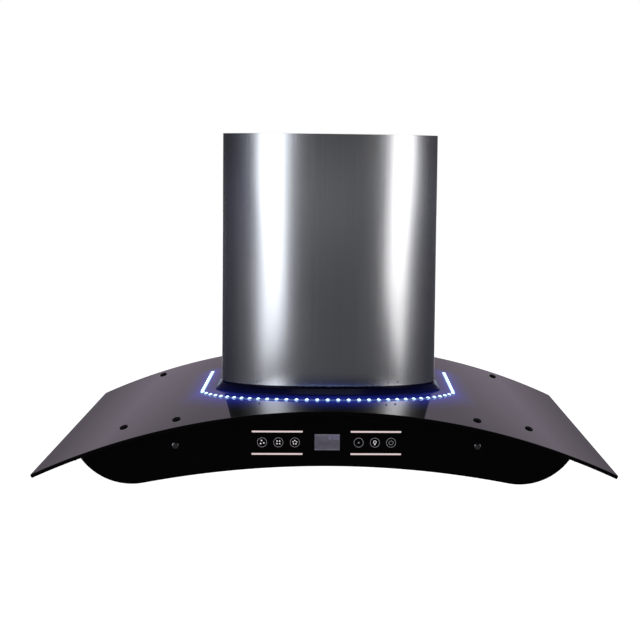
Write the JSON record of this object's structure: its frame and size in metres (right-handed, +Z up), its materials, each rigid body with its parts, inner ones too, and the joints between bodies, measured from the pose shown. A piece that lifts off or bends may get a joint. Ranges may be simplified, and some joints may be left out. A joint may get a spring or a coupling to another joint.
{
  "type": "wall mount range hood",
  "caption": "Wall mount range hood with an arched black glass canopy, a D-shaped stainless chimney cover, touch fascia, light line, hinged grease filters and a double-inlet blower.",
  "frame": {"origin": "centre of the wall bracket's four holes, on the wall plane", "axes": "+Y into the wall, +X along the hood's width to the right as seen from the room, +Z up"},
  "size_m": [0.9, 0.5, 0.5409],
  "materials": {
    "black_glass": "polished, opaque black",
    "brushed_stainless": "vertical brushed",
    "stainless_fastener": "turned and polished",
    "black_steel": "satin powder coat",
    "zinc_steel": "galvanised",
    "aluminium_filter": "satin",
    "black_plastic": "moulded",
    "grey_plastic": "moulded",
    "black_rubber": "moulded",
    "clear_silicone": "translucent",
    "led_lens": "lit blue white",
    "display_glass": "smoked",
    "lit_bar": "lit, pale red",
    "lamp_glass": "frosted",
    "circuit_board": "solder mask",
    "motor_paint": "enamel",
    "motor_shaft_steel": "ground"
  },
  "bodies": {
    "hood": {"body_back": "black_steel", "body_front": "black_steel", "body_top": "black_steel", "cable_gland": "black_plastic", "capacitor": "grey_plastic", "capacitor_clip": "zinc_steel", "chimney_brackets": "zinc_steel", "chimney_collar": "black_plastic", "chimney_cover": "brushed_stainless", "chimney_screws": "stainless_fastener", "damper_pins": "stainless_fastener", "display_module": "grey_plastic", "display_window": "display_glass", "fascia": "black_glass", "fascia_bolts": "black_plastic", "filter_deck": "black_steel", "glass_canopy": "black_glass", "glass_caps": "black_plastic", "glass_grommets": "black_rubber", "hinge_brackets": "black_steel", "lamp_driver": "grey_plastic", "lamp_left_bezel": "stainless_fastener", "lamp_left_body": "black_plastic", "lamp_left_lens": "lamp_glass", "lamp_right_bezel": "stainless_fastener", "lamp_right_body": "black_plastic", "lamp_right_lens": "lamp_glass", "led_beads": "led_lens", "led_tape": "clear_silicone", "light_bars": "lit_bar", "motor": "motor_paint", "motor_bracket": "zinc_steel", "motor_bracket_screws": "stainless_fastener", "outlet_collar": "black_plastic", "outlet_screws": "stainless_fastener", "plenum_back": "zinc_steel", "plenum_shell": "zinc_steel", "power_box": "black_plastic", "power_box_lid": "black_plastic", "rim_rivets": "stainless_fastener", "scroll_side_left": "zinc_steel", "scroll_side_right": "zinc_steel", "scroll_wrap": "zinc_steel", "side_wall_left": "black_steel", "side_wall_right": "black_steel", "touch_board": "circuit_board", "wall_bracket": "zinc_steel"},
    "impeller_wheel": {"impeller": "zinc_steel", "motor_shaft": "motor_shaft_steel"},
    "flap_left": {"damper_flap_left": "aluminium_filter"},
    "flap_right": {"damper_flap_right": "aluminium_filter"},
    "filter_left": {"filter_left_frame": "aluminium_filter", "filter_left_baffles": "aluminium_filter"},
    "filter_right": {"filter_right_frame": "aluminium_filter", "filter_right_baffles": "aluminium_filter"},
    "latch_left": {"filter_left_latch": "black_plastic"},
    "latch_right": {"filter_right_latch": "black_plastic"}
  },
  "joints": [
    {"name": "impeller_spin", "type": "hinge", "parent": "hood", "child": "impeller_wheel", "pos_m": [0, -0.215, -0.155], "axis": [1, 0, 0], "continuous": true},
    {"name": "damper_left_swing", "type": "hinge", "parent": "hood", "child": "flap_left", "pos_m": [-0.004, -0.148, -0.017], "axis": [0, 1, 0], "range_deg": [0, 75]},
    {"name": "filter_left_drop", "type": "hinge", "parent": "hood", "child": "filter_left", "pos_m": [-0.143, -0.0874, -0.3397], "axis": [1, 0, 0], "range_deg": [0, 75]},
    {"name": "filter_left_latch_slide", "type": "slide", "parent": "filter_left", "child": "latch_left", "axis": [0, 1, 0], "range_m": [0, 0.005], "stiffness_N_per_m": 200, "springref_m": -0.002},
    {"name": "damper_right_swing", "type": "hinge", "parent": "hood", "child": "flap_right", "pos_m": [0.004, -0.148, -0.017], "axis": [0, -1, 0], "range_deg": [0, 75]},
    {"name": "filter_right_drop", "type": "hinge", "parent": "hood", "child": "filter_right", "pos_m": [0.143, -0.0874, -0.3397], "axis": [1, 0, 0], "range_deg": [0, 75]},
    {"name": "filter_right_latch_slide", "type": "slide", "parent": "filter_right", "child": "latch_right", "axis": [0, 1, 0], "range_m": [0, 0.005], "stiffness_N_per_m": 200, "springref_m": -0.002}
  ]
}
